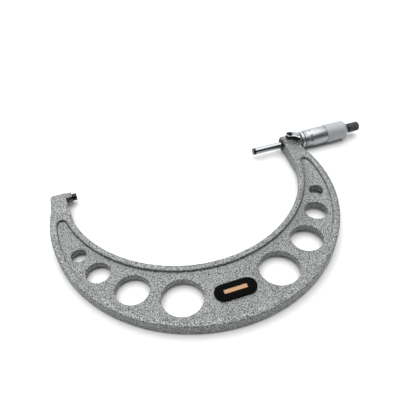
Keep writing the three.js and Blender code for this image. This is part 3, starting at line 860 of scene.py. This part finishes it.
class MICROMETER_OT_lock(bpy.types.Operator):
    """Builds the spindle lock: chromed lever and its screw"""

    bl_idname = "micrometer.lock"
    bl_label = "Spindle lock"

    def execute(self, context):
        settings = context.scene.mic_lock
        made = finishes()
        lever = merged_copy("thumb_lever", "lock_lever")
        within = 2 * SAME_HEIGHT
        round_off(settings.edge_round, 4, sharp_at(high("lock_lever").z, within))
        tidy_mesh()
        smooth(35)
        chrome = made["polished chrome plate"]
        finish(lever, "lock", "polished_chrome", chrome, "lock_lever")
        # Only the top keeps its polished chrome. The side walls are painted black: painted
        # shade for the dark reflection that the polished sides show.
        dress(lever, made["oiled black steel"], lambda f: abs(f.normal.z) < 0.3)

        screw = merged_copy("lever_screw", "lock_screw")
        screw_round = 0.2 * MM
        round_off(screw_round, 2, sharp_at(high("lock_screw").z, within))
        tidy_mesh()
        smooth(35)
        finish(screw, "lock", "black_oxide", made["oiled black steel"], "lock_screw")
        return {"FINISHED"}


def digits(text, height, x, radius, tilt, angle):
    """A painted number on a turned surface, upright with the frame on the left."""
    capital_share = 0.7  # height of a numeral over the font's size
    half_thickness, boldness, sunk = 0.05 * MM, 0.08 * MM, 0.02 * MM
    deselect()
    bpy.ops.object.text_add()
    piece = bpy.context.object
    piece.data.body = text
    piece.data.size = height / capital_share
    piece.data.align_x = "CENTER"
    piece.data.align_y = "CENTER"
    piece.data.extrude = half_thickness
    piece.data.offset = boldness
    piece.data.resolution_u = 3
    bpy.ops.object.convert(target="MESH")
    piece = bpy.context.object
    piece.matrix_world = (
        Matrix.Rotation(angle, 4, "X")
        @ Matrix.Translation((x, 0, radius - sunk))
        @ Matrix.Rotation(-tilt, 4, "Y")
    )
    settle()
    tidy_mesh()
    return piece


def line(x, along, across, radius, tilt, angle, thick=0.12 * MM):
    """An engraved line filled with paint, as a thin bar just proud of the surface."""
    proud = 0.025 * MM
    deselect()
    bpy.ops.mesh.primitive_cube_add(size=1, scale=(along, across, thick))
    piece = bpy.context.object
    settle()
    piece.matrix_world = (
        Matrix.Rotation(angle, 4, "X")
        @ Matrix.Translation((x, 0, radius - thick / 2 + proud))
        @ Matrix.Rotation(-tilt, 4, "Y")
    )
    settle()
    return piece


class MICROMETER_OT_sleeve(bpy.types.Operator):
    """Builds the graduated sleeve and its scale"""

    bl_idname = "micrometer.sleeve"
    bl_label = "Graduated sleeve"

    def execute(self, context):
        settings = context.scene.mic_sleeve
        made = finishes()
        a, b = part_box("graduated_sleeve")
        collar = b.z
        collar_step, collar_length = 0.8 * MM, 2.8 * MM
        outer = collar - collar_step
        collar_end = a.x + collar_length
        bore = 5.4 * MM
        sleeve = turned(
            "sleeve",
            eased(
                [
                    (a.x, bore),
                    (a.x, collar),
                    (collar_end, collar),
                    (collar_end, outer),
                    (b.x, outer),
                    (b.x, bore),
                ],
                0.25 * MM,
                closed=True,
            ),
            settings.sides,
            ring=True,
        )
        smooth()
        chrome = made["satin chrome plate"]
        finish(sleeve, "frame", "satin_chrome", chrome, "graduated_sleeve")

        zero = low("thimble").x
        width = settings.line_width
        datum_length = b.x - zero - 1 * MM
        marks = [line((zero + b.x) / 2, datum_length, width, outer, 0, 0)]
        long_line, short_line = 2.4, 1.7
        line_step = 0.5 * MM
        steps = int(round(settings.travel / line_step))
        for i in range(steps + 1):
            x = zero + i * line_step
            whole = i % 2 == 0
            reach = (long_line if i % 10 == 0 else short_line) * MM
            side = -1 if whole else 1
            angle = side * (reach / 2) / outer
            marks.append(line(x, width, reach, outer, 0, angle))
        scale = join("sleeve_scale_lines", marks)
        fill = made["black engraving fill"]
        finish(scale, "frame", "black_oxide", fill)
        numbers = []
        height = settings.digit_height
        below_the_datum, past_the_line, clear_of_the_end = 2.6 * MM, 0.2 * MM, 1.5 * MM
        for i in range(0, int(settings.travel / MM) + 1, 5):
            angle = -(below_the_datum + height / 2) / outer
            x = min(zero + i * MM + past_the_line, b.x - clear_of_the_end)
            numbers.append(digits(str(i), height, x, outer, 0, angle))
        scale = join("sleeve_numbers", numbers)
        finish(scale, "frame", "black_oxide", fill)
        return {"FINISHED"}


class MICROMETER_OT_thimble(bpy.types.Operator):
    """Builds the thimble with its knurl and its scale"""

    bl_idname = "micrometer.thimble"
    bl_label = "Thimble"

    def execute(self, context):
        settings = context.scene.mic_thimble
        made = finishes()
        a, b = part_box("thimble")
        grip = b.z
        grip_step, bevel_drop, edge_wall = 0.3 * MM, 0.7 * MM, 0.4 * MM
        bevel_length, chamfer, grip_length = 9 * MM, 2.5 * MM, 20.5 * MM
        groove_width, groove_depth, end_wall = 0.6 * MM, 0.5 * MM, 6.5 * MM
        body = grip - grip_step
        edge = body - bevel_drop
        bore = edge - edge_wall
        bevel_end = a.x + bevel_length
        grip_end = b.x - chamfer
        grip_start = grip_end - grip_length
        groove_start = grip_start - groove_width
        groove = body - groove_depth
        wall = b.x - end_wall
        seat = high("spindle").z + SEAT_GAP
        shell = eased(
            [
                (wall, bore),
                (a.x, bore),
                (a.x, edge),
                (bevel_end, body),
                (groove_start, body),
                (groove_start, groove),
                (grip_start, groove),
            ],
            0.12 * MM,
        )
        shell.append((grip_start, grip - 0.2 * MM))
        rows = int(round((grip_end - grip_start) / settings.knurl_pitch * 2))
        step = (grip_end - grip_start) / rows
        knurled = [(grip_start + i * step, grip) for i in range(1, rows)]
        back = [
            (grip_end, grip - 0.1 * MM),
            (grip_end + 0.2 * MM, grip - 0.25 * MM),
            (b.x - 0.3 * MM, grip - 1.75 * MM),
            (b.x, grip - 2.1 * MM),
            (b.x, seat),
            (wall, seat),
        ]
        piece = turned("thimble_shell", shell + knurled + back, settings.sides, ring=True)
        sector = 2 * math.pi / settings.sides

        def hollow(vertex):
            row = (vertex.co.x - grip_start) / step
            if not 0.5 < row < rows - 0.5:
                return False
            if math.hypot(*vertex.co.yz) < grip - 0.05 * MM:
                return False
            turn = math.atan2(vertex.co.y, vertex.co.z) / sector
            return (round(row) + round(turn)) % 2 == 0

        take(piece)
        edit("VERT")
        pick("verts", hollow)
        scale = 1 - settings.knurl_depth / grip
        bpy.ops.transform.resize(value=(1, scale, scale), center_override=(0, 0, 0))
        leave()
        smooth(28)
        finish(piece, "spindle", "satin_chrome", made["satin chrome plate"], "thimble")

        def knurled_face(face):
            middle = face.calc_center_median()
            outside = math.hypot(middle.y, middle.z) > grip - 0.4 * MM
            return outside and grip_start < middle.x < grip_end + chamfer / 2

        dress(piece, made["knurled satin chrome plate"], knurled_face)

        slope = (body - edge) / (bevel_end - a.x)
        tilt = math.atan(slope)
        marks = []
        long_line, short_line, from_the_edge = 4.2, 2.8, 0.15 * MM
        for i in range(settings.divisions):
            along = (long_line if i % 5 == 0 else short_line) * MM
            x = a.x + from_the_edge + along / 2
            angle = -2 * math.pi * i / settings.divisions
            radius = edge + slope * (x - a.x)
            marks.append(line(x, along, settings.line_width, radius, tilt, angle))
        fill = made["black engraving fill"]
        finish(join("thimble_lines", marks), "spindle", "black_oxide", fill)
        numbers = []
        height = settings.digit_height
        x = a.x + 6.3 * MM
        radius = edge + slope * (x - a.x)
        for i in range(0, settings.divisions, 5):
            angle = -2 * math.pi * i / settings.divisions
            numbers.append(digits(str(i), height, x, radius, tilt, angle))
        finish(join("thimble_numbers", numbers), "spindle", "black_oxide", fill)
        return {"FINISHED"}


class MICROMETER_OT_ratchet(bpy.types.Operator):
    """Builds the ratchet stop: toothed base, knurled sleeve and cap"""

    bl_idname = "micrometer.ratchet"
    bl_label = "Ratchet stop"

    def execute(self, context):
        settings = context.scene.mic_ratchet
        made = finishes()
        black = made["black oxide steel"]
        base = merged_copy("ratchet_base_ring", "ratchet_base")
        smooth(30)
        finish(base, "spindle", "black_oxide", black, "ratchet_base")

        a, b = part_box("ratchet_sleeve")
        outer = b.z
        sleeve_length, wall, front_wall, cap_depth = 11.8 * MM, 1.2 * MM, 4 * MM, 1 * MM
        front = b.x - sleeve_length
        shaft = 1.7 * MM
        cavity = outer - wall
        cavity_start = front + front_wall
        cap_seat = b.x - cap_depth
        cap_bore = high("ratchet_cap").z + SEAT_GAP
        ring = 1.1 * MM
        knurl_start = front + ring + 0.35 * MM
        knurl_end = b.x - 0.7 * MM
        profile = [
            (front, shaft),
            (front, outer - 0.4 * MM),
            (front + 0.12 * MM, outer - 0.12 * MM),
            (front + 0.3 * MM, outer),
            (front + ring, outer),
            (front + ring + 0.05 * MM, outer - 0.3 * MM),
            (knurl_start - 0.05 * MM, outer - 0.3 * MM),
            (knurl_start, outer - 0.06 * MM),
            (knurl_start + 0.25 * MM, outer),
            (knurl_end, outer),
            (b.x - 0.3 * MM, outer - 0.3 * MM),
            (b.x, outer - 0.55 * MM),
            (b.x, cap_bore),
            (cap_seat, cap_bore),
            (cap_seat, cavity),
            (cavity_start, cavity),
            (cavity_start, shaft),
        ]
        sleeve = turned("ratchet_thimble", profile, settings.sides, ring=True)
        sector = 2 * math.pi / settings.sides

        def hollow(vertex):
            if not knurl_start + 0.1 * MM < vertex.co.x < knurl_end + 0.1 * MM:
                return False
            if math.hypot(*vertex.co.yz) < outer - 0.05 * MM:
                return False
            return round(math.atan2(vertex.co.y, vertex.co.z) / sector) % 2 == 0

        take(sleeve)
        edit("VERT")
        pick("verts", hollow)
        scale = 1 - settings.knurl_depth / outer
        bpy.ops.transform.resize(value=(1, scale, scale), center_override=(0, 0, 0))
        edit("FACE")
        tooth = settings.sides // RATCHET_TEETH

        def tooth_face(face):
            middle = face.calc_center_median()
            if abs(middle.x - front) > SAME_HEIGHT or face.normal.x > -0.9:
                return False
            turn = (math.atan2(middle.y, middle.z) / sector) % tooth
            return turn < tooth / 2

        pick("faces", tooth_face)
        bpy.ops.mesh.extrude_region_move(
            TRANSFORM_OT_translate={"value": (a.x - front, 0, 0)}
        )
        leave()
        tidy_mesh()
        smooth(28)
        finish(sleeve, "ratchet", "black_oxide", black, "ratchet_sleeve")

        a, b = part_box("ratchet_cap")
        cap = turned(
            "ratchet_end_cap",
            [
                (a.x, b.z),
                (b.x - 0.2 * MM, b.z),
                (b.x, b.z - 0.2 * MM),
                (b.x, 1.4 * MM),
                (b.x - 0.25 * MM, 1.1 * MM),
            ],
            settings.sides,
        )
        smooth()
        finish(cap, "ratchet", "black_oxide", black, "ratchet_cap")
        return {"FINISHED"}


# ---- Stage ------------------------------------------------------------------


class MICROMETER_OT_stage(bpy.types.Operator):
    """Adds the floor, the lights and the camera"""

    bl_idname = "micrometer.stage"
    bl_label = "Stage"

    def floor(self, settings):
        """The surface that the micrometer lies on, touching its thimble and its bow."""
        deselect()
        bpy.ops.mesh.primitive_plane_add(size=6)
        piece = bpy.context.object
        piece.name = "floor"
        # It passes under the bow here, and falls towards the thimble by these slopes.
        bow = Vector((29.35, -152.4, -5.5)) * MM
        slope_x, slope_y = -0.008525, -0.013057
        below = 0.02 * MM
        normal = Vector((-slope_x, -slope_y, 1)).normalized()
        turn = Vector((0, 0, 1)).rotation_difference(normal).to_matrix().to_4x4()
        piece.matrix_world = Matrix.Translation(bow - normal * below) @ turn
        settle()
        material, tree, mm = new_finish("matt white paper")
        fibre = noise(tree, mm, 0.4, 4.0)
        tone = toned(tree, fibre, Vector(settings.floor[:3]), 0.99, 1)
        close_finish(
            material,
            tree,
            {
                "Base Color": tone,
                "Roughness": 0.8,
                "Normal": bump(tree, fibre, 0.01, 0.2),
            },
        )
        piece.data.materials.append(material)

    def lamp(self, name, kind, power, place, aim, settings):
        """A soft light, at its place and turned to what it lights."""
        light = bpy.data.lights.new(name, kind)
        light.energy = power
        for setting, value in settings.items():
            setattr(light, setting, value)
        lamp = bpy.data.objects.new(name, light)
        lamp.location = place
        direction = Vector(aim) - Vector(place)
        lamp.rotation_euler = direction.to_track_quat("-Z", "Y").to_euler()
        bpy.context.scene.collection.objects.link(lamp)

    def room(self):
        """A studio with dark walls and a white backdrop."""
        world = bpy.data.worlds.new("studio room")
        world.use_nodes = True
        tree = world.node_tree
        seen = add(tree, "LightPath").outputs["Is Camera Ray"]
        walls, backdrop = 0.07, 1.0
        strength = mapped(tree, seen, 0.0, 1.0, walls, backdrop)
        tree.links.new(strength, tree.nodes["Background"].inputs["Strength"])
        tree.nodes["Background"].inputs["Color"].default_value = (1, 1, 1, 1)
        return world

    def execute(self, context):
        scene = context.scene
        self.floor(scene.mic_stage)
        # A wide light from overhead, a little to the back, and a low softbox behind.
        tent = {"angle": math.radians(82)}
        self.lamp("light_tent", "SUN", 3.9, (0.12, 0.16, 1), (0.12, 0, 0), tent)
        box = {"shape": "RECTANGLE", "size": 2.4, "size_y": 1.1}
        place, aim = (0.12, 1.25, 0.55), (0.12, 0, 0.1)
        self.lamp("back_softbox", "AREA", 14.0, place, aim, box)
        scene.world = self.room()

        lens = bpy.data.cameras.new("camera")
        lens.sensor_width = 36
        lens.lens = 43.04
        lens.clip_start = 0.01
        camera = bpy.data.objects.new("camera", lens)
        right = Vector((0.9464, -0.3212, -0.0353))
        up = Vector((0.2528, 0.6681, 0.6998))
        back = right.cross(up)
        pose = Matrix((right, up, back)).transposed().to_4x4()
        pose.translation = Vector((0.0178, -0.3332, 0.3067))
        camera.matrix_world = pose
        scene.collection.objects.link(camera)
        scene.camera = camera
        scene.view_settings.view_transform = "Standard"
        return {"FINISHED"}


OPERATORS = (
    MICROMETER_OT_frame,
    MICROMETER_OT_plates,
    MICROMETER_OT_anvil,
    MICROMETER_OT_spindle,
    MICROMETER_OT_bearing,
    MICROMETER_OT_lock,
    MICROMETER_OT_sleeve,
    MICROMETER_OT_thimble,
    MICROMETER_OT_ratchet,
    MICROMETER_OT_stage,
)


class MICROMETER_PT_panel(bpy.types.Panel):
    """Lists the sizes and the builders of the micrometer"""

    bl_idname = "MICROMETER_PT_panel"
    bl_label = "Outside Micrometer"
    bl_space_type = "VIEW_3D"
    bl_region_type = "UI"
    bl_category = "Micrometer"

    def draw(self, context):
        for operator in OPERATORS:
            box = self.layout.box()
            box.operator(operator.bl_idname)
            group = getattr(context.scene, "mic_" + operator.bl_idname.split(".")[1], None)
            if group is not None:
                for name in group.__annotations__:
                    box.prop(group, name)


def register():
    for group in GROUPS.values():
        bpy.utils.register_class(group)
    for name, group in GROUPS.items():
        setattr(bpy.types.Scene, name, bpy.props.PointerProperty(type=group))
    for cls in (*OPERATORS, MICROMETER_PT_panel):
        bpy.utils.register_class(cls)


def unregister():
    for cls in reversed((*OPERATORS, MICROMETER_PT_panel)):
        bpy.utils.unregister_class(cls)
    for name in GROUPS:
        delattr(bpy.types.Scene, name)
    for group in reversed(list(GROUPS.values())):
        bpy.utils.unregister_class(group)


def main():
    register()
    for operator in OPERATORS:
        group, name = operator.bl_idname.split(".")
        getattr(getattr(bpy.ops, group), name)()


if __name__ == "__main__":
    main()
